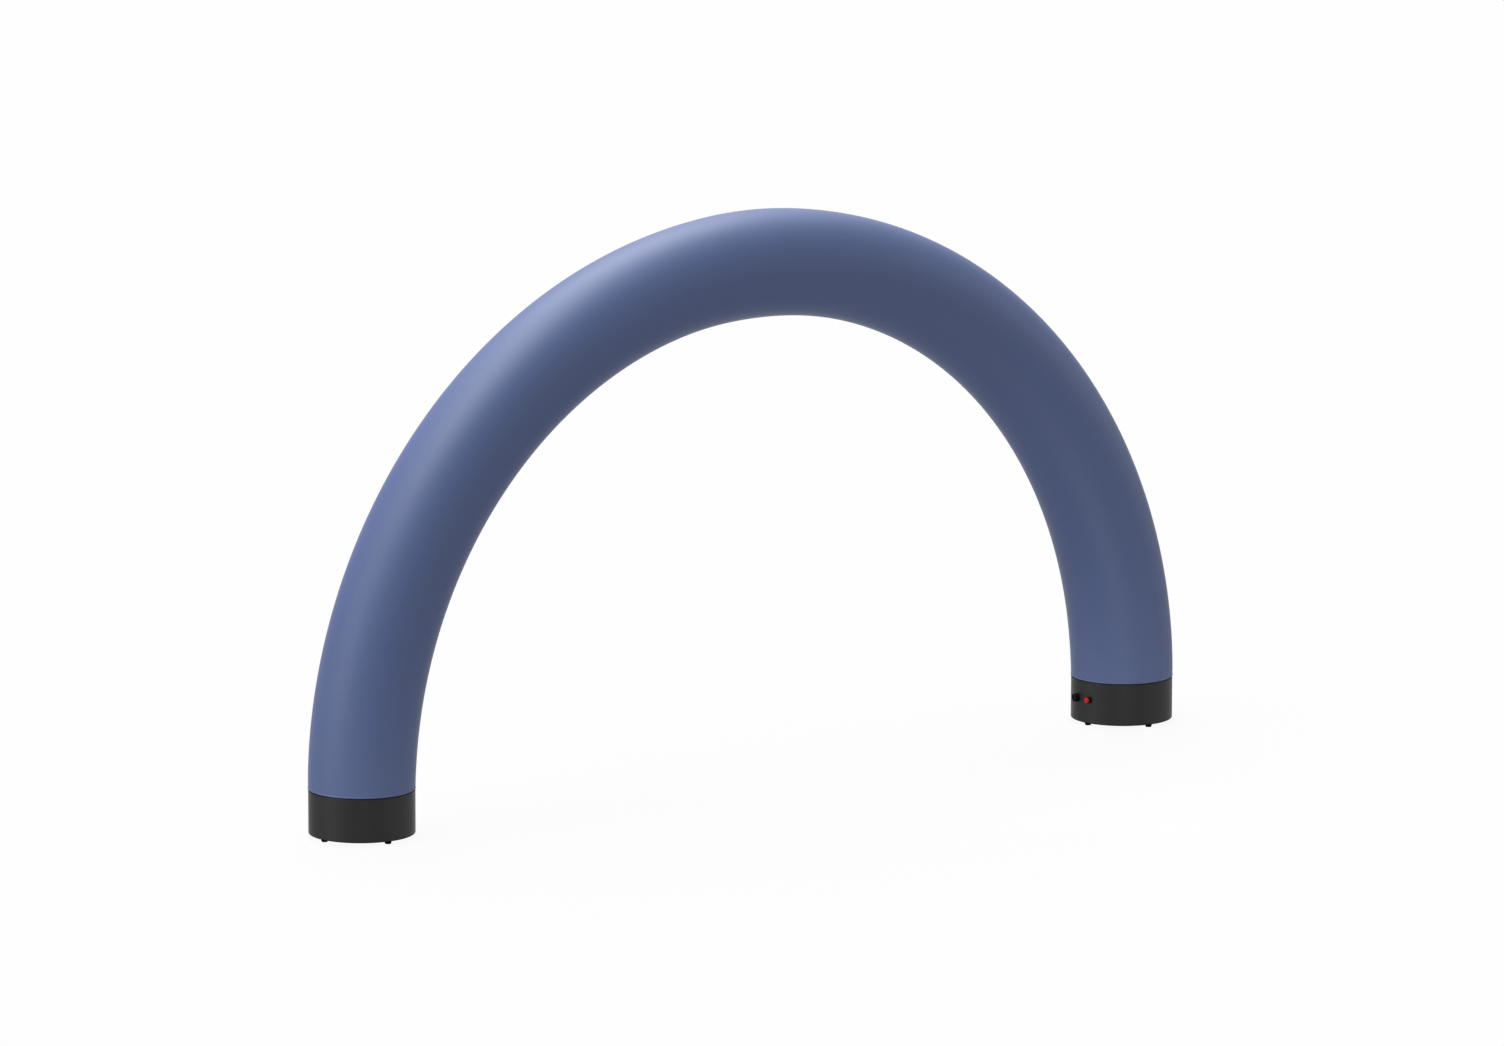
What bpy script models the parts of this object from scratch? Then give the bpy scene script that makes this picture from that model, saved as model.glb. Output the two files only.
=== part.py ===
"""Inflatable arch: an air-filled cloth tube bent into a half ring, with each end clamped on a
round housing that stands on four rubber feet. The right-hand housing carries a round power
inlet and a sprung push button. Metres, +Z up. The origin is on the floor, midway between the
two housings, and the arch spans along X.
"""

import math

import bmesh
import bpy

# Cloth tube: its axis is a circular arc, eased upright where it meets the housings.
HALF_SPAN = 2.295  # from the middle of the arch to the axis of each housing
ARC_RADIUS = 2.2955
ARC_DROP = 0.0225  # from the seam with the housings down to the arc's centre
TUBE_RADIUS = 0.2544  # full swell
CROWN_SWELL = 0.0045  # the tube is a little fuller round its crown
CROWN_LENGTH = 0.35
CLAMPED_RADIUS = 0.2518  # where the cloth leaves the housing
SWELL_LENGTH = 0.14  # the cloth swells out over about this length from each end
LIP_LENGTH = 0.006  # the rolled lower lip of the cloth
LIP_DROP = 0.004  # how far the lip turns in
TUBE_SIDES = 36
TUBE_STEPS = 64  # even steps along the axis, between the closer ones at its ends
END_STEPS = (0.0, 0.001, 0.003, 0.006, 0.020, 0.045)  # distances of the closer ones from an end

# Housings: solid turned drums, one for each leg
HOUSING_RADIUS = 0.2515
HOUSING_HEIGHT = 0.211  # underside to seam
NECK_RADIUS = 0.246  # the recessed collar on which the cloth is clamped
NECK_HEIGHT = 0.004
SHOULDER_ROUND = 0.0015
SKIRT_ROUND = 0.005
HOUSING_SIDES = 72

# Feet: tapered rubber buffers at the quarters of each housing
FOOT_HEIGHT = 0.018
FOOT_TOP_RADIUS = 0.018
FOOT_BOTTOM_RADIUS = 0.0145
FOOT_ROUND = 0.0025
FOOT_RING_RADIUS = 0.2125  # from the housing's axis to a foot's axis
FOOT_COUNT = 4
FOOT_SIDES = 20

# Controls: round fittings let into the side of the right-hand housing. Their heights along
# their own axes are counted outwards from the housing's surface.
CONTROL_HEIGHT = 0.1195  # above the housing's underside
CONTROL_SIDES = 32
INLET_ANGLE = math.radians(170.5)  # round the housing's axis, from +X
BUTTON_ANGLE = math.radians(190.8)
SEAT_DEPTH = 0.003  # flat seat of a fitting's ring
WELL_DEPTH = 0.014  # well behind the ring
CUTTER_REACH = 0.03  # how far a cutter stands out of the housing

INLET_RADIUS = 0.021
INLET_BORE_RADIUS = 0.014
INLET_HEIGHT = 0.0225
INLET_ROUND = 0.005
INLET_WELL_RADIUS = 0.0183
INSERT_RADIUS = 0.018
INSERT_FACE = 0.016
KEY_WIDTH = 0.005
KEY_DEPTH = 0.0025  # beyond the bore's wall

BEZEL_RADIUS = 0.0165
BEZEL_HEIGHT = 0.014
BEZEL_ROUND = 0.0015
BUTTON_WELL_RADIUS = 0.0153
CAP_RADIUS = 0.0133
CAP_HEIGHT = 0.022
CAP_DOME = 0.0045  # height of the cap's domed face
CAP_DOME_POWER = 0.7  # under 1 the dome is flatter in the middle and rounder at its edge
CAP_DOME_STEPS = 6
CAP_FLANGE_RADIUS = 0.015
CAP_FLANGE_THICKNESS = 0.004

GAP = 0.0003  # left between pieces that touch


def clear_scene():
    for obj in list(bpy.data.objects):
        bpy.data.objects.remove(obj, do_unlink=True)


def new_collection(name):
    collection = bpy.data.collections.new(name)
    bpy.context.scene.collection.children.link(collection)
    return collection


def new_material(name, colour, roughness):
    material = bpy.data.materials.new(name)
    material.use_nodes = True
    shader = material.node_tree.nodes["Principled BSDF"]
    shader.inputs["Base Color"].default_value = (*colour, 1.0)
    shader.inputs["Roughness"].default_value = roughness
    shader.inputs["Metallic"].default_value = 0.0
    return material


def quarter(centre_radius, centre_height, size, start, steps=3):
    """Points of a quarter round of a profile, turning clockwise from the angle start in degrees."""
    angles = [math.radians(start - 90.0 * i / steps) for i in range(steps + 1)]
    return [
        (centre_radius + size * math.cos(a), centre_height + size * math.sin(a))
        for a in angles
    ]


def turned(name, profile, sides, collection, material=None, ring=False):
    """A solid turned round Z. The profile's (radius, height) points run down its outer side."""
    shape = bmesh.new()
    points = [shape.verts.new((radius, 0.0, height)) for radius, height in profile]
    for above, below in zip(points, points[1:]):
        shape.edges.new((above, below))
    if ring:
        shape.edges.new((points[-1], points[0]))
    mesh = bpy.data.meshes.new(name)
    shape.to_mesh(mesh)
    shape.free()
    obj = bpy.data.objects.new(name, mesh)
    collection.objects.link(obj)
    if material:
        mesh.materials.append(material)
    screw = obj.modifiers.new("Turn", "SCREW")
    screw.axis = "Z"
    screw.steps = sides
    screw.render_steps = sides
    screw.use_merge_vertices = True
    screw.merge_threshold = 0.0001
    screw.use_smooth_shade = True
    return obj


def helper(obj):
    """Marks a cutter, which takes no part in the finished object."""
    obj.hide_render = True
    obj.display_type = "WIRE"
    return obj


def cut(obj, cutter):
    modifier = obj.modifiers.new(cutter.name, "BOOLEAN")
    modifier.operation = "DIFFERENCE"
    modifier.solver = "EXACT"
    modifier.object = cutter


def tube_radius(distance, to_crown):
    """The cloth's radius at its distances along the tube from the nearer end and the crown."""
    swell = (TUBE_RADIUS - CLAMPED_RADIUS) * (1.0 - math.exp(-distance / SWELL_LENGTH))
    swell += CROWN_SWELL * math.exp(-((to_crown / CROWN_LENGTH) ** 2))
    inward = 1.0 - min(distance / LIP_LENGTH, 1.0)
    return CLAMPED_RADIUS + swell - LIP_DROP * (1.0 - math.sqrt(1.0 - inward**2))


def tube_points():
    """(x, height above the seam, radius) along the tube's axis, from the left leg to the right."""
    lean = math.asin(ARC_DROP / ARC_RADIUS)  # of the arc at the seam
    offset = ARC_RADIUS * math.cos(lean) - HALF_SPAN
    half_length = ARC_RADIUS * (math.pi / 2.0 - lean)
    even = [2.0 * half_length * i / TUBE_STEPS for i in range(1, TUBE_STEPS // 2 + 1)]
    leg = []
    for distance in list(END_STEPS) + even:
        angle = lean + distance / ARC_RADIUS
        easing = offset * math.exp(-distance * math.sin(lean) / offset)
        leg.append(
            (
                easing - ARC_RADIUS * math.cos(angle),
                ARC_RADIUS * math.sin(angle) - ARC_DROP,
                tube_radius(distance, half_length - distance),
            )
        )
    return leg + [(-x, height, radius) for x, height, radius in reversed(leg[:-1])]


def make_tube(collection, material):
    """The inflated tube: a round section of changing radius swept along the arch."""
    curve = bpy.data.curves.new("air_tube", "CURVE")
    curve.dimensions = "3D"
    curve.bevel_depth = TUBE_RADIUS
    curve.bevel_resolution = TUBE_SIDES // 2 - 2
    curve.use_fill_caps = True
    spline = curve.splines.new("POLY")
    points = tube_points()
    spline.points.add(len(points) - 1)
    for point, (x, height, radius) in zip(spline.points, points):
        point.co = (x, 0.0, height, 1.0)
        point.radius = radius / TUBE_RADIUS
    spline.use_smooth = True
    curve.materials.append(material)
    tube = bpy.data.objects.new("air_tube", curve)
    tube.location = (0.0, 0.0, FOOT_HEIGHT + HOUSING_HEIGHT + GAP)
    collection.objects.link(tube)


def make_housing(name, x, collection, material):
    """A drum with a rounded skirt, and a narrower neck at its top on which the cloth is clamped."""
    shoulder = HOUSING_HEIGHT - NECK_HEIGHT
    profile = [(0.0, HOUSING_HEIGHT), (NECK_RADIUS, HOUSING_HEIGHT), (NECK_RADIUS, shoulder)]
    profile += quarter(
        HOUSING_RADIUS - SHOULDER_ROUND, shoulder - SHOULDER_ROUND, SHOULDER_ROUND, 90.0
    )
    profile += quarter(HOUSING_RADIUS - SKIRT_ROUND, SKIRT_ROUND, SKIRT_ROUND, 0.0)
    profile.append((0.0, 0.0))
    housing = turned(name, profile, HOUSING_SIDES, collection, material)
    housing.location = (x, 0.0, FOOT_HEIGHT)
    return housing


def make_feet(side, x, collection, material):
    """Four tapered buffers under one housing, with rounded lower edges."""
    profile = [(0.0, FOOT_HEIGHT - GAP), (FOOT_TOP_RADIUS, FOOT_HEIGHT - GAP)]
    profile += quarter(FOOT_BOTTOM_RADIUS - FOOT_ROUND, FOOT_ROUND, FOOT_ROUND, 0.0, steps=2)
    profile.append((0.0, 0.0))
    for i in range(FOOT_COUNT):
        angle = 2.0 * math.pi * i / FOOT_COUNT
        foot = turned(f"foot_{side}_{i + 1}", profile, FOOT_SIDES, collection, material)
        foot.location = (
            x + FOOT_RING_RADIUS * math.cos(angle),
            FOOT_RING_RADIUS * math.sin(angle),
            0.0,
        )


def place_control(obj, angle):
    """Stands a fitting's axis square to the right-hand housing's wall, its own Z pointing out."""
    obj.location = (
        HALF_SPAN + HOUSING_RADIUS * math.cos(angle),
        HOUSING_RADIUS * math.sin(angle),
        FOOT_HEIGHT + CONTROL_HEIGHT,
    )
    obj.rotation_euler = (0.0, math.radians(90.0), angle)


def cut_seat(housing, name, ring_radius, well_radius, angle, cutters):
    """Cuts a flat seat for a fitting's ring, and the deeper well behind it."""
    seat_radius = ring_radius + GAP
    profile = [
        (0.0, CUTTER_REACH),
        (seat_radius, CUTTER_REACH),
        (seat_radius, -SEAT_DEPTH),
        (well_radius, -SEAT_DEPTH),
        (well_radius, -WELL_DEPTH),
        (0.0, -WELL_DEPTH),
    ]
    cutter = helper(turned(name, profile, CONTROL_SIDES, cutters))
    place_control(cutter, angle)
    cut(housing, cutter)


def ring_profile(radius, bore_radius, height, rounding):
    """A flat-backed ring that sits on its seat, with a rounded outer front edge."""
    back = GAP - SEAT_DEPTH
    profile = quarter(radius - rounding, height - rounding, rounding, 90.0, steps=2)
    return [(bore_radius, height)] + profile + [(radius, back), (bore_radius, back)]


def make_inlet(collection, cutters, collar_material, insert_material):
    """The power inlet: a keyed collar, and an insert whose face closes the bottom of its bore."""
    profile = ring_profile(INLET_RADIUS, INLET_BORE_RADIUS, INLET_HEIGHT, INLET_ROUND)
    collar = turned(
        "inlet_collar", profile, CONTROL_SIDES, collection, collar_material, ring=True
    )
    place_control(collar, INLET_ANGLE)

    key_mesh = bpy.data.meshes.new("key_cutter")
    shape = bmesh.new()
    bmesh.ops.create_cube(shape, size=1.0)
    shape.to_mesh(key_mesh)
    shape.free()
    key = helper(bpy.data.objects.new("key_cutter", key_mesh))
    key.parent = collar
    key.scale = (INLET_BORE_RADIUS, KEY_WIDTH, 2.0 * (INLET_HEIGHT - INSERT_FACE))
    key.location = (-INLET_BORE_RADIUS / 2.0 - KEY_DEPTH, 0.0, INLET_HEIGHT)
    cutters.objects.link(key)
    cut(collar, key)

    boss_radius = INLET_BORE_RADIUS - GAP
    profile = [
        (0.0, INSERT_FACE),
        (boss_radius, INSERT_FACE),
        (boss_radius, -SEAT_DEPTH),
        (INSERT_RADIUS, -SEAT_DEPTH),
        (INSERT_RADIUS, GAP - WELL_DEPTH),
        (0.0, GAP - WELL_DEPTH),
    ]
    insert = turned("inlet_insert", profile, CONTROL_SIDES, collection, insert_material)
    place_control(insert, INLET_ANGLE)


def make_button(collection, bezel_material, cap_material):
    """The push button: a bezel, and a domed cap that slides in it against a flange."""
    profile = ring_profile(BEZEL_RADIUS, CAP_RADIUS + GAP, BEZEL_HEIGHT, BEZEL_ROUND)
    bezel = turned(
        "button_bezel", profile, CONTROL_SIDES, collection, bezel_material, ring=True
    )
    place_control(bezel, BUTTON_ANGLE)

    wall_top = CAP_HEIGHT - CAP_DOME
    angles = [math.radians(90.0 * i / CAP_DOME_STEPS) for i in range(CAP_DOME_STEPS + 1)]
    profile = [
        (CAP_RADIUS * math.sin(angle), wall_top + CAP_DOME * math.cos(angle) ** CAP_DOME_POWER)
        for angle in angles
    ]
    profile += [
        (CAP_RADIUS, -SEAT_DEPTH),
        (CAP_FLANGE_RADIUS, -SEAT_DEPTH),
        (CAP_FLANGE_RADIUS, -SEAT_DEPTH - CAP_FLANGE_THICKNESS),
        (0.0, -SEAT_DEPTH - CAP_FLANGE_THICKNESS),
    ]
    cap = turned("button_cap", profile, CONTROL_SIDES, collection, cap_material)
    place_control(cap, BUTTON_ANGLE)


def main():
    clear_scene()
    parts = new_collection("Inflatable arch")
    cutters = new_collection("Cutters")

    cloth = new_material("coated_nylon_cloth", (0.11, 0.15, 0.33), 0.5)
    plastic = new_material("black_housing_plastic", (0.03, 0.03, 0.03), 0.45)
    fitting = new_material("black_fitting_plastic", (0.01, 0.01, 0.01), 0.4)
    insert = new_material("grey_insert_plastic", (0.02, 0.02, 0.02), 0.5)
    rubber = new_material("foot_rubber", (0.01, 0.01, 0.01), 0.8)
    red = new_material("red_button_plastic", (0.6, 0.01, 0.01), 0.3)

    make_tube(parts, cloth)
    for side, x in (("left", -HALF_SPAN), ("right", HALF_SPAN)):
        housing = make_housing(f"housing_{side}", x, parts, plastic)
        make_feet(side, x, parts, rubber)
    cut_seat(
        housing, "inlet_cutter", INLET_RADIUS, INLET_WELL_RADIUS, INLET_ANGLE, cutters
    )
    cut_seat(
        housing, "button_cutter", BEZEL_RADIUS, BUTTON_WELL_RADIUS, BUTTON_ANGLE, cutters
    )
    make_inlet(parts, cutters, fitting, insert)
    make_button(parts, fitting, red)


main()
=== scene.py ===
"""The looks of an inflatable arch: a blue cloth tube bent into a half ring by the air inside it,
standing on two black housings with rubber feet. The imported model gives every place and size.
"""

import math

import bmesh
import bpy
from mathutils import Matrix, Quaternion, Vector


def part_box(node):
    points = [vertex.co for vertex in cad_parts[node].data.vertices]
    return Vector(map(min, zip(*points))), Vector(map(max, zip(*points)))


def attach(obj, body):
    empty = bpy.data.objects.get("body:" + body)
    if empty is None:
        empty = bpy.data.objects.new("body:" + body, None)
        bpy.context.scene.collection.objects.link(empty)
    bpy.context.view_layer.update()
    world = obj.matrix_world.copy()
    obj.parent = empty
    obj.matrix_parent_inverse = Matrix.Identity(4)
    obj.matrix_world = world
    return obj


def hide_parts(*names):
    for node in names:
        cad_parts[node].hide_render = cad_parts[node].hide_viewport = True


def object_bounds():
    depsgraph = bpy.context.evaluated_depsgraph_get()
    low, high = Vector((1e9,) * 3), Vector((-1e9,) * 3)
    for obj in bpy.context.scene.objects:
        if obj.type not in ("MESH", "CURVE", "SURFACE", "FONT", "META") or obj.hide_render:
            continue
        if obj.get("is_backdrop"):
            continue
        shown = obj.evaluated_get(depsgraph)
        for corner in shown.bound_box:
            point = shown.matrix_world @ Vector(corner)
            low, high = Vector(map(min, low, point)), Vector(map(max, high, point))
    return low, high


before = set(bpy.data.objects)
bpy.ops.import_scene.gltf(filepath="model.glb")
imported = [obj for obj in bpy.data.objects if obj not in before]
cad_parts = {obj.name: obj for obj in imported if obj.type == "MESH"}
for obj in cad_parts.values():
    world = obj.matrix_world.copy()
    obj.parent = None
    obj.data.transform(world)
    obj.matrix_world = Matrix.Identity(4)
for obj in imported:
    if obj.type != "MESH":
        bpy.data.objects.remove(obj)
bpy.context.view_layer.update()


# --- Air tube -------------------------------------------------------------------------
# One round sleeve of coated nylon cloth, blown up until it stands as a half ring. It starts
# upright on each housing, where its turned-in lip is drawn tight round the housing's neck.

tube_low, tube_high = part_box("air_tube")
right_low, right_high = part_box("housing_right")
seam_height = tube_low.z
crown_radius = (tube_high.y - tube_low.y) / 2
rise = tube_high.z - crown_radius - seam_height
half_span = (right_low.x + right_high.x) / 2
housing_radius = (right_high.x - right_low.x) / 2

# The sleeve's axis is an arc of a circle whose centre lies a little below the seam. Near each
# end it is eased inwards by the seam offset, so that it leaves its housing upright.
arc_radius = 2.2955
arc_drop = arc_radius - rise
lean = math.asin(arc_drop / arc_radius)
seam_offset = arc_radius * math.cos(lean) - half_span
tube_length = arc_radius * (math.pi - 2 * lean)

# The cloth is clamped a little outside the housing's radius, swells to the tube's radius above
# it, and swells a little more at the crown.
crown_swell = 0.0045
crown_length = 0.35
tube_radius = crown_radius - crown_swell
clamp_step = 0.0003
clamped_radius = housing_radius + clamp_step
swell_length = 0.14
lip_length = 0.003
lip_drop = 0.004
hem_height = 0.0018
hem_middle = 0.0040
hem_width = 0.0025

# Rows of the mesh lie close together over the lip and the hem, and evenly in between.
tube_sides = 240
tube_rings = 232
close_rows = (
    0, 0.0002, 0.0005, 0.0009, 0.0014, 0.002, 0.0027, 0.0034, 0.0041, 0.0049, 0.0058, 0.0068,
    0.008, 0.0095, 0.012, 0.016, 0.022, 0.03, 0.042, 0.057,
)
even_count = tube_rings - 2 * len(close_rows) + 2
even_step = (tube_length - 2 * close_rows[-1]) / even_count
even_rows = [close_rows[-1] + even_step * i for i in range(1, even_count)]
tube_rows = list(close_rows) + even_rows + [tube_length - row for row in reversed(close_rows)]


def cloth_radius(distance):
    """The sleeve's radius at a distance from its nearer end, over the rolled hem and the swell."""
    swell = (tube_radius - clamped_radius) * (1 - math.exp(-distance / swell_length))
    swell += crown_swell * math.exp(-(((tube_length / 2 - distance) / crown_length) ** 2))
    inward = 1 - min(distance / lip_length, 1)
    lip = lip_drop * (1 - math.sqrt(1 - inward**2))
    hem = hem_height * math.exp(-(((distance - hem_middle) / hem_width) ** 2))
    return clamped_radius + swell - lip + hem


sharp_angle = math.radians(30)


def finished(name, shape, material, sharp_from=sharp_angle):
    """Turns a bmesh into an object at the origin, smooth but for the edges past an angle."""
    mesh = bpy.data.meshes.new(name)
    shape.to_mesh(mesh)
    shape.free()
    mesh.shade_smooth()
    mesh.set_sharp_from_angle(angle=sharp_from)
    mesh.materials.append(material)
    piece = bpy.data.objects.new(name, mesh)
    bpy.context.scene.collection.objects.link(piece)
    return piece


def new_material(name):
    """A material with its node tree and its Principled shader."""
    material = bpy.data.materials.new(name)
    material.use_nodes = True
    tree = material.node_tree
    return material, tree, tree.nodes["Principled BSDF"]


def add_math(tree, operation, first, second=None):
    """A Math node. Each value is a number or a socket."""
    node = tree.nodes.new("ShaderNodeMath")
    node.operation = operation
    for socket, value in zip(node.inputs, (first, second)):
        if isinstance(value, (int, float)):
            socket.default_value = value
        elif value is not None:
            tree.links.new(value, socket)
    return node.outputs[0]


def add_noise(tree, vector, scale, detail=2.0, roughness=0.5):
    """A noise pattern from 0 to 1 at so many cells a metre."""
    node = tree.nodes.new("ShaderNodeTexNoise")
    node.inputs["Scale"].default_value = scale
    node.inputs["Detail"].default_value = detail
    node.inputs["Roughness"].default_value = roughness
    tree.links.new(vector, node.inputs["Vector"])
    return node.outputs["Fac"]


def add_range(tree, value, low, high, from_low=0.0, from_high=1.0):
    """Spreads a value evenly from one range to another."""
    node = tree.nodes.new("ShaderNodeMapRange")
    node.inputs["From Min"].default_value = from_low
    node.inputs["From Max"].default_value = from_high
    node.inputs["To Min"].default_value = low
    node.inputs["To Max"].default_value = high
    tree.links.new(value, node.inputs["Value"])
    return node.outputs["Result"]


def add_colours(tree, value, first, second):
    """Runs from one colour to another. Each is a colour or a socket."""
    node = tree.nodes.new("ShaderNodeMix")
    node.data_type = "RGBA"
    tree.links.new(value, node.inputs["Factor"])
    for end, colour in (("A", first), ("B", second)):
        if isinstance(colour, tuple):
            node.inputs[end].default_value = (*colour, 1)
        else:
            tree.links.new(colour, node.inputs[end])
    return node.outputs["Result"]


def add_bump(tree, shader, height, distance, strength):
    """Shades the surface as if the height pattern were cut into it, so many metres deep."""
    node = tree.nodes.new("ShaderNodeBump")
    node.inputs["Distance"].default_value = distance
    node.inputs["Strength"].default_value = strength
    tree.links.new(height, node.inputs["Height"])
    tree.links.new(node.outputs["Normal"], shader.inputs["Normal"])


def plain_weave_group():
    """Plain weave: yarns that pass over and under each other, one crossing for each unit."""
    yarn_roundness = 0.6
    tone_limit = 0.4
    group = bpy.data.node_groups.new("Plain weave", "ShaderNodeTree")
    group.interface.new_socket("Yarns", in_out="INPUT", socket_type="NodeSocketVector")
    group.interface.new_socket("Height", in_out="OUTPUT", socket_type="NodeSocketFloat")
    group.interface.new_socket("Tone", in_out="OUTPUT", socket_type="NodeSocketFloat")
    start = group.nodes.new("NodeGroupInput")
    end = group.nodes.new("NodeGroupOutput")
    split = group.nodes.new("ShaderNodeSeparateXYZ")
    group.links.new(start.outputs["Yarns"], split.inputs[0])
    across = add_math(group, "SINE", add_math(group, "MULTIPLY", split.outputs["X"], math.pi))
    along = add_math(group, "SINE", add_math(group, "MULTIPLY", split.outputs["Y"], math.pi))
    crossing = add_math(group, "MULTIPLY", across, along)
    height = add_math(group, "POWER", add_math(group, "ABSOLUTE", crossing), yarn_roundness)
    tone = add_range(group, crossing, 0, 1, -tone_limit, tone_limit)
    group.links.new(height, end.inputs["Height"])
    group.links.new(tone, end.inputs["Tone"])
    return group


def cloth_material():
    """Satin slate-blue nylon: a fine plain weave, with slow changes of shade along the sleeve,
    and paler and lighter near the ground, a painted light that stands in for floor light and
    sheen."""
    yarn_pitch = 0.0005
    yarn_depth = 0.00005
    yarn_strength = 0.4
    weave_share = 0.5
    patches_per_metre = 1.3
    deep_blue = (0.052, 0.078, 0.180)
    light_blue = (0.057, 0.086, 0.196)
    painted_light_blue = (0.069, 0.096, 0.202)
    painted_light_height = 0.9
    painted_light_share = 0.4
    smooth, dull = 0.49, 0.55
    shine = 0.45
    material, tree, shader = new_material("Blue cloth")
    place = tree.nodes.new("ShaderNodeUVMap")
    yarns = tree.nodes.new("ShaderNodeMapping")
    yarns.inputs["Scale"].default_value = (1 / yarn_pitch, 1 / yarn_pitch, 1)
    tree.links.new(place.outputs[0], yarns.inputs["Vector"])
    weave = tree.nodes.new("ShaderNodeGroup")
    weave.node_tree = plain_weave_group()
    tree.links.new(yarns.outputs[0], weave.inputs["Yarns"])
    coordinates = tree.nodes.new("ShaderNodeTexCoord")
    slow = add_noise(tree, coordinates.outputs["Object"], patches_per_metre, detail=3)
    shade = add_math(tree, "MULTIPLY", weave.outputs["Tone"], weave_share)
    shade = add_math(tree, "ADD", shade, add_math(tree, "MULTIPLY", slow, 1 - weave_share))
    clean = add_colours(tree, shade, deep_blue, light_blue)
    # Painted light: the blue turns paler towards the ground, for the floor's light and sheen.
    place_split = tree.nodes.new("ShaderNodeSeparateXYZ")
    tree.links.new(coordinates.outputs["Object"], place_split.inputs[0])
    painted_light = add_range(tree, place_split.outputs["Z"], painted_light_share, 0, seam_height, painted_light_height)
    tree.links.new(add_colours(tree, painted_light, clean, painted_light_blue), shader.inputs["Base Color"])
    tree.links.new(add_range(tree, slow, smooth, dull), shader.inputs["Roughness"])
    shader.inputs["Specular IOR Level"].default_value = shine
    add_bump(tree, shader, weave.outputs["Height"], yarn_depth, yarn_strength)
    return material


sleeve = bmesh.new()
bmesh.ops.create_circle(sleeve, cap_ends=False, segments=tube_sides, radius=tube_radius)
bmesh.ops.translate(sleeve, verts=sleeve.verts, vec=(-half_span, 0, 0))
bmesh.ops.spin(
    sleeve, geom=sleeve.edges[:], cent=(0, 0, 0), axis=(0, 1, 0), dvec=(0, 0, 0),
    angle=math.pi, steps=tube_rings, use_merge=False, use_duplicate=False,
)
cloth_places = {}
for vert in sleeve.verts:
    row = tube_rows[round(abs(math.atan2(vert.co.z, -vert.co.x)) / math.pi * tube_rings)]
    angle = math.atan2(vert.co.y, math.hypot(vert.co.x, vert.co.z) - half_span)
    distance = min(row, tube_length - row)
    side = -1 if row < tube_length / 2 else 1
    turn = lean + distance / arc_radius
    easing = math.exp(-distance * math.sin(lean) / seam_offset)
    reach = arc_radius * math.cos(turn) - seam_offset * easing
    centre = Vector((side * reach, 0, seam_height + arc_radius * math.sin(turn) - arc_drop))
    inward = math.sin(turn) - math.sin(lean) * easing
    outward = Vector((side * math.cos(turn), 0, inward)).normalized()
    radius = cloth_radius(distance)
    vert.co = centre + outward * radius * math.cos(angle)
    vert.co.y = radius * math.sin(angle)
    cloth_places[vert] = (angle * tube_radius, row)
cloth_uv = sleeve.loops.layers.uv.new("cloth")
girth = 2 * math.pi * tube_radius
for face in sleeve.faces:
    far = max(cloth_places[vert][0] for vert in face.verts)
    for loop in face.loops:
        across, along = cloth_places[loop.vert]
        if far - across > girth / 2:
            across += girth
        loop[cloth_uv].uv = (across, along)
bmesh.ops.holes_fill(sleeve, edges=[edge for edge in sleeve.edges if edge.is_boundary])
bmesh.ops.recalc_face_normals(sleeve, faces=sleeve.faces)
sleeve_piece = finished("tube_sleeve", sleeve, cloth_material())
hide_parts("air_tube")
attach(sleeve_piece, "arch")


# --- Housings -------------------------------------------------------------------------
# A moulded black drum under each leg holds the blower and the ballast. Its narrower neck takes
# the cloth, and the right-hand one has two flat seats cut in its wall for the fittings.

housing_base = right_low.z
housing_height = right_high.z - right_low.z
neck_radius = 0.246
neck_height = 0.004
shoulder_round = 0.0015
skirt_round = 0.005
housing_steps = 192
inlet_radius = 0.021
inlet_well_radius = 0.0183
bezel_radius = 0.0165
bezel_well_radius = 0.0153
seat_depth = 0.003
well_depth = 0.014
fitting_gap = 0.0003
fitting_steps = 96
cutter_top = 0.03


def turned(outline, steps):
    """A closed shape turned from an outline of (radius, height) points that starts and ends
    on the axis, or from a ring's outline that comes back to its first point."""
    shape = bmesh.new()
    points = [shape.verts.new((radius, 0, height)) for radius, height in outline]
    for first, second in zip(points, points[1:]):
        shape.edges.new((first, second))
    if outline[0][0] > 0:
        shape.edges.new((points[-1], points[0]))
    bmesh.ops.spin(
        shape, geom=shape.verts[:] + shape.edges[:], cent=(0, 0, 0), axis=(0, 0, 1),
        dvec=(0, 0, 0), angle=math.tau, steps=steps, use_merge=True, use_duplicate=False,
    )
    merge_distance = 0.00001
    bmesh.ops.remove_doubles(shape, verts=shape.verts, dist=merge_distance)
    bmesh.ops.recalc_face_normals(shape, faces=shape.faces)
    return shape


def round_rim(shape, radius, height, size, segments=5):
    """Rounds the circular edge of a turned shape at one radius and height."""
    near = 0.00002
    rim = [
        edge
        for edge in shape.edges
        if all(
            abs(vert.co.z - height) < near and abs(vert.co.xy.length - radius) < near
            for vert in edge.verts
        )
    ]
    bmesh.ops.bevel(
        shape, geom=rim, offset=size, offset_type="OFFSET", segments=segments,
        profile=0.5, affect="EDGES", material=-1, clamp_overlap=True,
    )


def even_normals(piece):
    """Keeps flat faces flat beside rounded edges."""
    modifier = piece.modifiers.new("Even normals", "WEIGHTED_NORMAL")
    modifier.keep_sharp = True
    modifier.weight = 100


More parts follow.
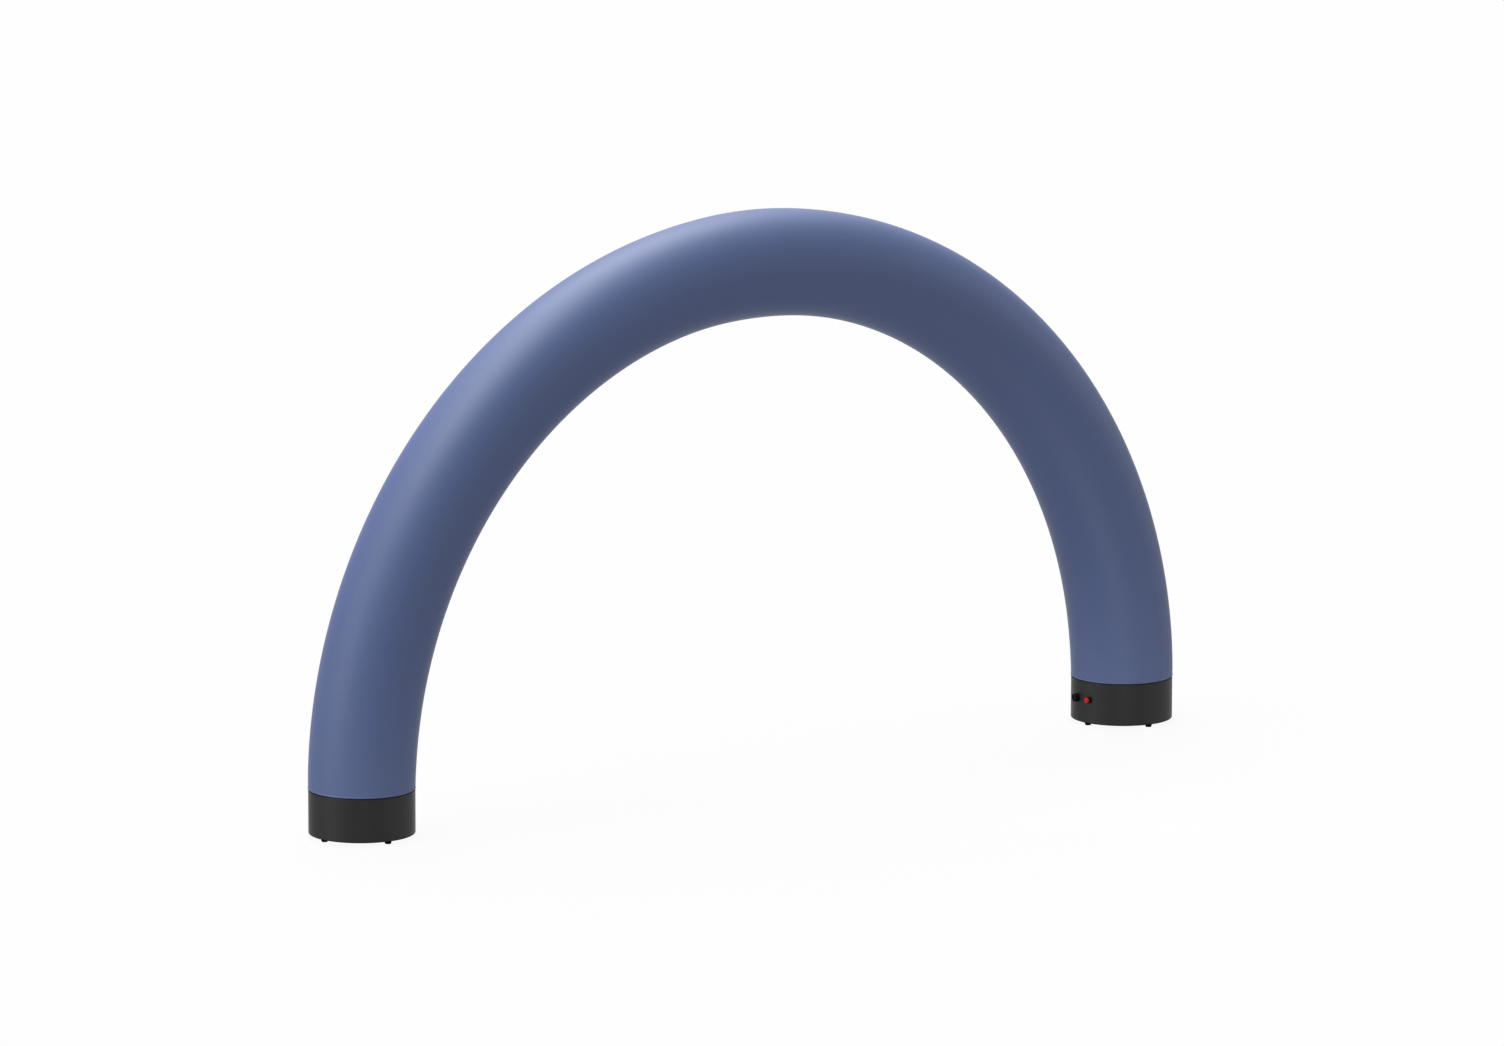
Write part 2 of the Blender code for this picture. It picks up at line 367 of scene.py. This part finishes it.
def moulded_grain_group():
    """The spark-eroded grain of a moulded part: fine pits, with slow changes of gloss."""
    group = bpy.data.node_groups.new("Moulded grain", "ShaderNodeTree")
    group.interface.new_socket("Place", in_out="INPUT", socket_type="NodeSocketVector")
    group.interface.new_socket("Cells", in_out="INPUT", socket_type="NodeSocketFloat")
    group.interface.new_socket("Height", in_out="OUTPUT", socket_type="NodeSocketFloat")
    group.interface.new_socket("Gloss", in_out="OUTPUT", socket_type="NodeSocketFloat")
    start = group.nodes.new("NodeGroupInput")
    end = group.nodes.new("NodeGroupOutput")
    pits = group.nodes.new("ShaderNodeTexNoise")
    pits.inputs["Detail"].default_value = 3
    group.links.new(start.outputs["Place"], pits.inputs["Vector"])
    group.links.new(start.outputs["Cells"], pits.inputs["Scale"])
    patches_per_metre = 9
    slow = add_noise(group, start.outputs["Place"], patches_per_metre, detail=4, roughness=0.6)
    group.links.new(pits.outputs["Fac"], end.inputs["Height"])
    group.links.new(slow, end.inputs["Gloss"])
    return group


moulded_grain = moulded_grain_group()


def moulded_material(name, dark, light, roughness, shine, cells, depth):
    """Moulded plastic or rubber. Roughness runs between two values with its slow changes."""
    grain_strength = 0.6
    material, tree, shader = new_material(name)
    coordinates = tree.nodes.new("ShaderNodeTexCoord")
    grain = tree.nodes.new("ShaderNodeGroup")
    grain.node_tree = moulded_grain
    grain.inputs["Cells"].default_value = cells
    tree.links.new(coordinates.outputs["Object"], grain.inputs["Place"])
    colour = add_colours(tree, grain.outputs["Gloss"], dark, light)
    tree.links.new(colour, shader.inputs["Base Color"])
    gloss = add_range(tree, grain.outputs["Gloss"], *roughness)
    tree.links.new(gloss, shader.inputs["Roughness"])
    shader.inputs["Specular IOR Level"].default_value = shine
    add_bump(tree, shader, grain.outputs["Height"], depth, grain_strength)
    return material


def wall_place(node):
    """Puts a fitting modelled round Z on the wall where a node sits, with Z pointing outwards."""
    low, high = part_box(node)
    centre = (low + high) / 2
    angle = math.atan2(centre.y, centre.x - half_span)
    foot = Vector((half_span, 0, centre.z)) + housing_radius * Vector(
        (math.cos(angle), math.sin(angle), 0)
    )
    turn = Matrix.Rotation(angle, 4, "Z") @ Matrix.Rotation(math.radians(90), 4, "Y")
    return Matrix.Translation(foot) @ turn


def cut(piece, cutter):
    """Cuts one shape out of another and removes the cutter."""
    modifier = piece.modifiers.new("Cut", "BOOLEAN")
    modifier.object = cutter
    modifier.solver = "EXACT"
    bpy.context.view_layer.update()
    graph = bpy.context.evaluated_depsgraph_get()
    mesh = bpy.data.meshes.new_from_object(piece.evaluated_get(graph))
    piece.modifiers.remove(modifier)
    old = piece.data
    mesh.name = old.name
    piece.data = mesh
    bpy.data.meshes.remove(old)
    bpy.data.objects.remove(cutter)


housing_plastic = moulded_material(
    "Black housing plastic", (0.0045, 0.0045, 0.0045), (0.0055, 0.0055, 0.0055),
    roughness=(0.44, 0.5), shine=0.43, cells=1500, depth=0.00002,
)
shoulder = housing_height - neck_height
for side, x in (("left", -half_span), ("right", half_span)):
    drum = turned(
        [
            (0, housing_height),
            (neck_radius, housing_height),
            (neck_radius, shoulder),
            (housing_radius, shoulder),
            (housing_radius, 0),
            (0, 0),
        ],
        housing_steps,
    )
    round_rim(drum, housing_radius, shoulder, shoulder_round)
    round_rim(drum, housing_radius, 0, skirt_round)
    bmesh.ops.translate(drum, verts=drum.verts, vec=(x, 0, housing_base))
    drum_piece = finished(f"drum_{side}", drum, housing_plastic)
    if side == "right":
        for node, ring_radius, well_radius in (
            ("inlet_collar", inlet_radius, inlet_well_radius),
            ("button_bezel", bezel_radius, bezel_well_radius),
        ):
            seat_radius = ring_radius + fitting_gap
            seat = turned(
                [
                    (0, cutter_top),
                    (seat_radius, cutter_top),
                    (seat_radius, -seat_depth),
                    (well_radius, -seat_depth),
                    (well_radius, -well_depth),
                    (0, -well_depth),
                ],
                fitting_steps,
            )
            bmesh.ops.transform(seat, matrix=wall_place(node), verts=seat.verts)
            cut(drum_piece, finished("seat_cutter", seat, housing_plastic))
        drum_piece.data.set_sharp_from_angle(angle=sharp_angle)
    even_normals(drum_piece)
    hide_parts(f"housing_{side}")
    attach(drum_piece, "arch")


# --- Feet -----------------------------------------------------------------------------
# Four tapered rubber buffers are screwed under each housing, a quarter turn apart.

foot_top_radius = 0.018
foot_bottom_radius = 0.0145
foot_edge = 0.0025
foot_steps = 64
foot_rubber = moulded_material(
    "Foot rubber", (0.003, 0.003, 0.003), (0.005, 0.005, 0.005),
    roughness=(0.62, 0.78), shine=0.2, cells=900, depth=0.00008,
)
for side in ("left", "right"):
    for number in range(1, 5):
        node = f"foot_{side}_{number}"
        low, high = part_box(node)
        foot = turned(
            [(0, high.z), (foot_top_radius, high.z), (foot_bottom_radius, low.z), (0, low.z)],
            foot_steps,
        )
        round_rim(foot, foot_bottom_radius, low.z, foot_edge)
        middle = (low + high) / 2
        bmesh.ops.translate(foot, verts=foot.verts, vec=(middle.x, middle.y, 0))
        foot_piece = finished(f"buffer_{side}_{number}", foot, foot_rubber)
        even_normals(foot_piece)
        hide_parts(node)
        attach(foot_piece, "arch")


# --- Power inlet ----------------------------------------------------------------------
# A round moulded socket on the inner side of the right-hand housing: a collar with a keyway at
# the top of its bore, and a grey insert that closes the bore behind it.

inlet_bore = 0.014
inlet_height = 0.0225
inlet_round = 0.005
bore_round = 0.0006
insert_face = 0.016
insert_radius = 0.018
insert_round = 0.0008
key_width = 0.005
key_depth = 0.0025
ring_back = fitting_gap - seat_depth
inlet_place = wall_place("inlet_collar")

fitting_plastic = moulded_material(
    "Black fitting plastic", (0.002, 0.002, 0.002), (0.003, 0.003, 0.003),
    roughness=(0.50, 0.58), shine=0.08, cells=2200, depth=0.00003,
)
collar = turned(
    [
        (inlet_bore, inlet_height),
        (inlet_radius, inlet_height),
        (inlet_radius, ring_back),
        (inlet_bore, ring_back),
    ],
    fitting_steps,
)
round_rim(collar, inlet_radius, inlet_height, inlet_round, segments=8)
round_rim(collar, inlet_bore, inlet_height, bore_round, segments=3)
bmesh.ops.transform(collar, matrix=inlet_place, verts=collar.verts)
collar_piece = finished("inlet_ring", collar, fitting_plastic)
key = bmesh.new()
bmesh.ops.create_cube(key, size=1)
key_top = 2 * inlet_height
bmesh.ops.scale(key, vec=(inlet_bore, key_width, key_top - insert_face), verts=key.verts)
key_middle = (-inlet_bore / 2 - key_depth, 0, (key_top + insert_face) / 2)
bmesh.ops.translate(key, vec=key_middle, verts=key.verts)
bmesh.ops.transform(key, matrix=inlet_place, verts=key.verts)
cut(collar_piece, finished("key_cutter", key, fitting_plastic))
collar_piece.data.set_sharp_from_angle(angle=sharp_angle)
even_normals(collar_piece)
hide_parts("inlet_collar")
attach(collar_piece, "arch")

boss_radius = inlet_bore - fitting_gap
insert = turned(
    [
        (0, insert_face),
        (boss_radius, insert_face),
        (boss_radius, -seat_depth),
        (insert_radius, -seat_depth),
        (insert_radius, fitting_gap - well_depth),
        (0, fitting_gap - well_depth),
    ],
    fitting_steps,
)
round_rim(insert, boss_radius, insert_face, insert_round, segments=3)
bmesh.ops.transform(insert, matrix=inlet_place, verts=insert.verts)
insert_plastic = moulded_material(
    "Grey insert plastic", (0.009, 0.010, 0.009), (0.012, 0.013, 0.012),
    roughness=(0.42, 0.5), shine=0.2, cells=2200, depth=0.00003,
)
insert_piece = finished("inlet_core", insert, insert_plastic)
even_normals(insert_piece)
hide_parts("inlet_insert")
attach(insert_piece, "arch")


# --- Push button ----------------------------------------------------------------------
# A glossy red cap slides in a black bezel. Its flange behind the bezel stops it from coming out,
# and a spring behind it, out of sight, pushes it forward.

bezel_height = 0.014
bezel_round = 0.0015
bezel_bore_round = 0.0005
cap_radius = 0.0133
cap_height = 0.022
cap_dome = 0.0045
cap_flange_radius = 0.015
cap_flange_back = -0.007
bezel_bore = cap_radius + fitting_gap
button_place = wall_place("button_bezel")

bezel = turned(
    [
        (bezel_bore, bezel_height),
        (bezel_radius, bezel_height),
        (bezel_radius, ring_back),
        (bezel_bore, ring_back),
    ],
    fitting_steps,
)
round_rim(bezel, bezel_radius, bezel_height, bezel_round)
round_rim(bezel, bezel_bore, bezel_height, bezel_bore_round, segments=3)
bmesh.ops.transform(bezel, matrix=button_place, verts=bezel.verts)
bezel_piece = finished("bezel_ring", bezel, fitting_plastic)
even_normals(bezel_piece)
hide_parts("button_bezel")
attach(bezel_piece, "arch")


def red_plastic():
    """Glossy red plastic with a faint waviness and fine handling marks in its gloss."""
    deep_red = (0.41, 0.002, 0.002)
    light_red = (0.46, 0.003, 0.003)
    smooth, dull = 0.32, 0.4
    shine = 0.2
    marks_per_metre = 260
    mark_depth = 0.00003
    mark_strength = 0.3
    material, tree, shader = new_material("Red button plastic")
    place = tree.nodes.new("ShaderNodeTexCoord").outputs["Object"]
    marks = add_noise(tree, place, marks_per_metre, detail=5, roughness=0.65)
    tree.links.new(add_colours(tree, marks, deep_red, light_red), shader.inputs["Base Color"])
    tree.links.new(add_range(tree, marks, smooth, dull), shader.inputs["Roughness"])
    shader.inputs["Specular IOR Level"].default_value = shine
    add_bump(tree, shader, marks, mark_depth, mark_strength)
    return material


dome_steps = 12
dome_flatness = 0.7
dome_edge_angle = math.radians(50)
wall_top = cap_height - cap_dome
dome = [
    (
        cap_radius * math.sin(math.pi / 2 * i / dome_steps),
        wall_top + cap_dome * math.cos(math.pi / 2 * i / dome_steps) ** dome_flatness,
    )
    for i in range(dome_steps)
]
cap = turned(
    dome
    + [
        (cap_radius, wall_top),
        (cap_radius, -seat_depth),
        (cap_flange_radius, -seat_depth),
        (cap_flange_radius, cap_flange_back),
        (0, cap_flange_back),
    ],
    fitting_steps,
)
bmesh.ops.transform(cap, matrix=button_place, verts=cap.verts)
cap_piece = finished("push_cap", cap, red_plastic(), sharp_from=dome_edge_angle)
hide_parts("button_cap")
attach(cap_piece, "button")


# --- Stage, light and camera ----------------------------------------------------------
# A wide pale floor, and a studio of soft lights round the arch. The floor carries no light back
# to the arch: the studio's lower half does that, evenly.

# The floor glows, all but the small part of its brightness that a shadow can take away. That
# part is lit by the studio, which gives a white floor the brightness floor_light.
floor_size = 600
floor_white = 0.99
floor_shadow = 0.05
floor_light = 2.33


def matt_material(name, grey, glow=0.0):
    """A grey paint without shine, with a white glow of its own."""
    material, _, shader = new_material(name)
    shader.inputs["Base Color"].default_value = (grey, grey, grey, 1)
    shader.inputs["Roughness"].default_value = 1.0
    shader.inputs["Specular IOR Level"].default_value = 0.0
    shader.inputs["Emission Color"].default_value = (1, 1, 1, 1)
    shader.inputs["Emission Strength"].default_value = glow
    return material


floor_shape = bmesh.new()
bmesh.ops.create_grid(floor_shape, x_segments=1, y_segments=1, size=floor_size / 2)
floor_paint = matt_material("Pale floor", floor_shadow / floor_light, floor_white - floor_shadow)
floor = finished("floor", floor_shape, floor_paint)
floor.visible_diffuse = False
floor.visible_glossy = False
floor.visible_shadow = False
floor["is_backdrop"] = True

# A black card on the floor under each housing, unseen by the camera, is a painted shadow.
# It keeps the studio's lower half off the feet and the housings' lower edges, as the shadow under
# a real housing does.
card_radius = housing_radius + 0.012
card_height = 0.001
card_steps = 96
# Painted shadow: the card's near-black paint stands in for the shade under each housing.
shadow_card_grey = 0.002
shadow_card_paint = matt_material("Painted shadow card", shadow_card_grey)
for x in (-half_span, half_span):
    card_shape = bmesh.new()
    bmesh.ops.create_circle(card_shape, cap_ends=True, segments=card_steps, radius=card_radius)
    bmesh.ops.translate(card_shape, verts=card_shape.verts, vec=(x, 0, card_height))
    card = finished("painted_shadow_card", card_shape, shadow_card_paint)
    card.visible_camera = False
    card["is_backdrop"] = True

# Each far light of the studio: brightness, azimuth from +X and elevation in degrees, and
# tightness.
studio_lights = (
    (9.6, 67, 59, 17),
    (11.6, 174, 66, 24),
    (3.7, 169, 16, 20),
    (1.5, 53, -10, 12),
    (1.9, -120, -36, 50),
    (2.3, -16, 12, 54),
    (0.65, -60, 5, 15),
)
studio_above = 0.405
studio_below = 0.516
horizon_blend = 0.3

# Each near light, a round panel: power in watts, diameter, place, the point it faces, and
# whether it shows in the gloss of the arch.
soft_panels = (
    (5.4, 1.2, (0.8, -2.3, 0.7), (2.3, 0, 0.8), True),
    (3.9, 1.6, (1.9, -0.9, 0.03), (1.9, -0.9, 3), False),
    (3.3, 1.6, (-2.7, -0.9, 0.03), (-2.7, -0.9, 3), False),
)
for power, diameter, place, faced, mirrored in soft_panels:
    panel_light = bpy.data.lights.new("soft_panel", "AREA")
    panel_light.shape = "DISK"
    panel_light.size = diameter
    panel_light.energy = power
    panel = bpy.data.objects.new("soft_panel", panel_light)
    bpy.context.scene.collection.objects.link(panel)
    panel.location = place
    panel.rotation_euler = (Vector(place) - Vector(faced)).to_track_quat("Z", "Y").to_euler()
    panel.visible_camera = False
    panel.visible_glossy = mirrored

world = bpy.data.worlds.new("Studio")
bpy.context.scene.world = world
world.use_nodes = True
sky = world.node_tree
sky.nodes.clear()
direction = sky.nodes.new("ShaderNodeTexCoord").outputs["Generated"]
direction_split = sky.nodes.new("ShaderNodeSeparateXYZ")
sky.links.new(direction, direction_split.inputs[0])
brightness = add_range(
    sky, direction_split.outputs["Z"], studio_below, studio_above, -horizon_blend, horizon_blend
)
for power, azimuth, elevation, tightness in studio_lights:
    a, e = math.radians(azimuth), math.radians(elevation)
    towards = sky.nodes.new("ShaderNodeVectorMath")
    towards.operation = "DOT_PRODUCT"
    towards.inputs[1].default_value = (
        math.cos(a) * math.cos(e), math.sin(a) * math.cos(e), math.sin(e)
    )
    sky.links.new(direction, towards.inputs[0])
    fall = add_math(sky, "SUBTRACT", towards.outputs["Value"], 1)
    fall = add_math(sky, "MULTIPLY", fall, tightness)
    glow = add_math(sky, "MULTIPLY", add_math(sky, "EXPONENT", fall), power)
    brightness = add_math(sky, "ADD", brightness, glow)
lighting = sky.nodes.new("ShaderNodeBackground")
lighting.inputs["Color"].default_value = (1, 1, 1, 1)
sky.links.new(brightness, lighting.inputs["Strength"])
backdrop = sky.nodes.new("ShaderNodeBackground")
backdrop.inputs["Color"].default_value = (1, 1, 1, 1)
backdrop.inputs["Strength"].default_value = floor_white
path = sky.nodes.new("ShaderNodeLightPath")
choice = sky.nodes.new("ShaderNodeMixShader")
sky.links.new(path.outputs["Is Camera Ray"], choice.inputs[0])
sky.links.new(lighting.outputs[0], choice.inputs[1])
sky.links.new(backdrop.outputs[0], choice.inputs[2])
sky.links.new(choice.outputs[0], sky.nodes.new("ShaderNodeOutputWorld").inputs[0])

# A long lens looks from the arch's front left, a little from above.
view_azimuth = math.radians(-37.09)
view_elevation = math.radians(10.30)
view_roll = math.radians(0.09)
view_distance = 46.415
view_target = Vector((-0.0044, 0.0033, 1.2422))
picture_width = 1504
focal_length_in_pixels = 9660.9
camera_data = bpy.data.cameras.new("camera")
camera_data.sensor_width = 36
camera_data.lens = focal_length_in_pixels * camera_data.sensor_width / picture_width
camera_data.clip_end = 1000
camera = bpy.data.objects.new("camera", camera_data)
bpy.context.scene.collection.objects.link(camera)
back = Vector(
    (
        math.sin(view_azimuth) * math.cos(view_elevation),
        -math.cos(view_azimuth) * math.cos(view_elevation),
        math.sin(view_elevation),
    )
)
camera.location = view_target + back * view_distance
upright = back.to_track_quat("Z", "Y")
camera.rotation_euler = (upright @ Quaternion((0, 0, 1), view_roll)).to_euler()
bpy.context.scene.camera = camera
bpy.context.scene.view_settings.view_transform = "Standard"

low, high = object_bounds()
